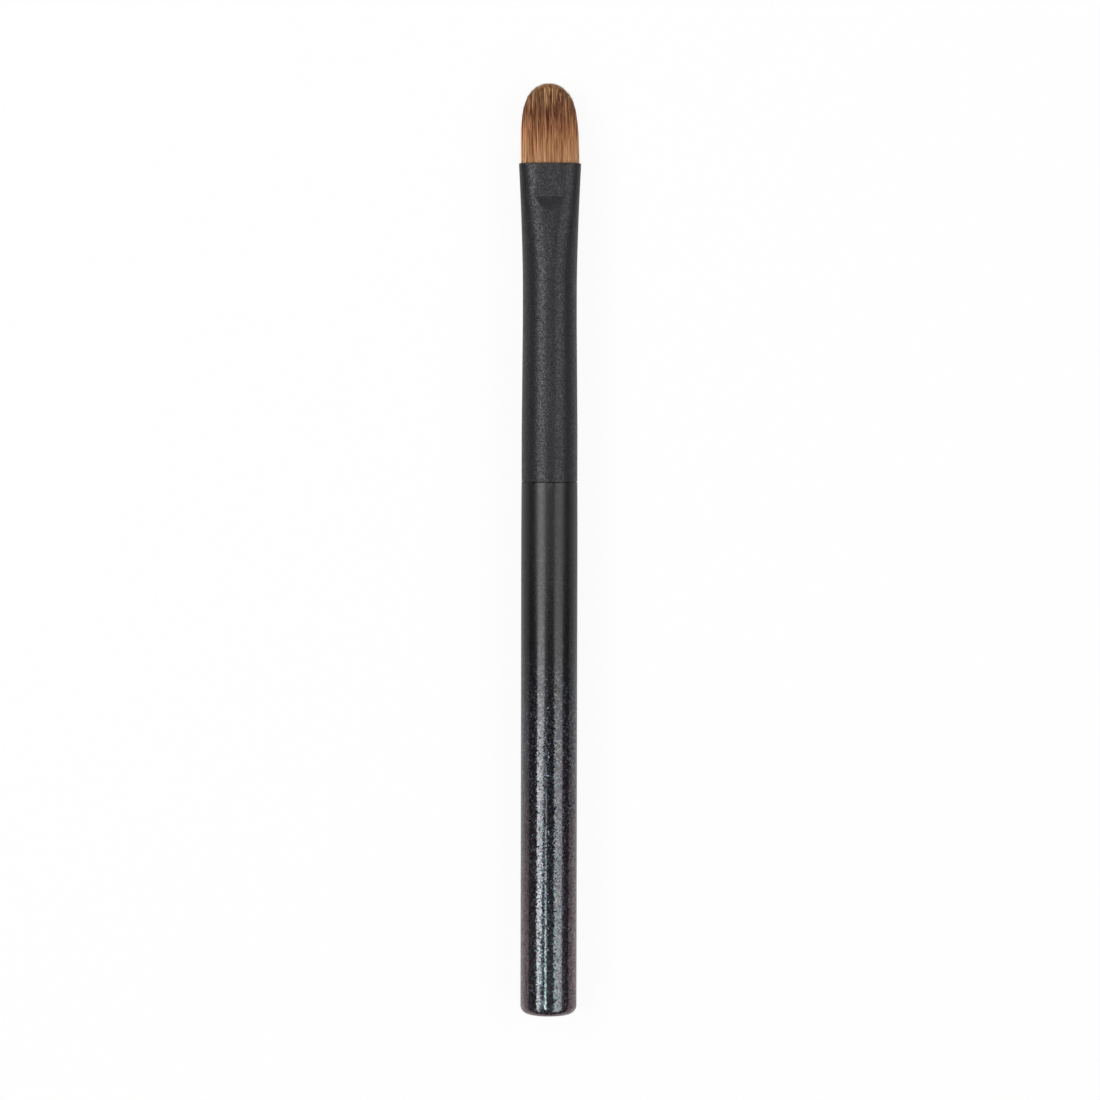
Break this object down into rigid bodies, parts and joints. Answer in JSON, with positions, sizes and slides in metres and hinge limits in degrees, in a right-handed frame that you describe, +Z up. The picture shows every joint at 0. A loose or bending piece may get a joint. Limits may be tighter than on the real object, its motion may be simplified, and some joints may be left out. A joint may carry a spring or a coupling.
{
  "type": "concealer brush",
  "caption": "Slim make-up brush with a domed flat tuft of fine brown hair, a long black ferrule pressed flat at its mouth and a straight round handle of glittering black lacquer.",
  "frame": {"origin": "on the surface that the brush lies on, under the middle of its length", "axes": "+Y along the brush from the butt to the hair's tip, +Z up, square to the flat of the mouth, +X across the flat of the mouth"},
  "size_m": [0.0102, 0.152, 0.0092],
  "materials": {
    "pearl_black_lacquer": "wood under black lacquer, satin at the ferrule and more and more glitter towards the butt",
    "matt_black_coat": "fine-grained matt black coat on drawn metal tube",
    "brown_hair": "fine straight hair, light brown at the ferrule and reddish brown above",
    "waxed_thread": "waxed thread",
    "clear_resin": "set amber resin",
    "wood_glue": "set wood glue"
  },
  "bodies": {
    "root": {"handle": "pearl_black_lacquer", "tenon_glue": "wood_glue", "ferrule": "matt_black_coat", "hair_tuft": "brown_hair", "binding_thread": "waxed_thread", "root_resin": "clear_resin"}
  },
  "joints": []
}
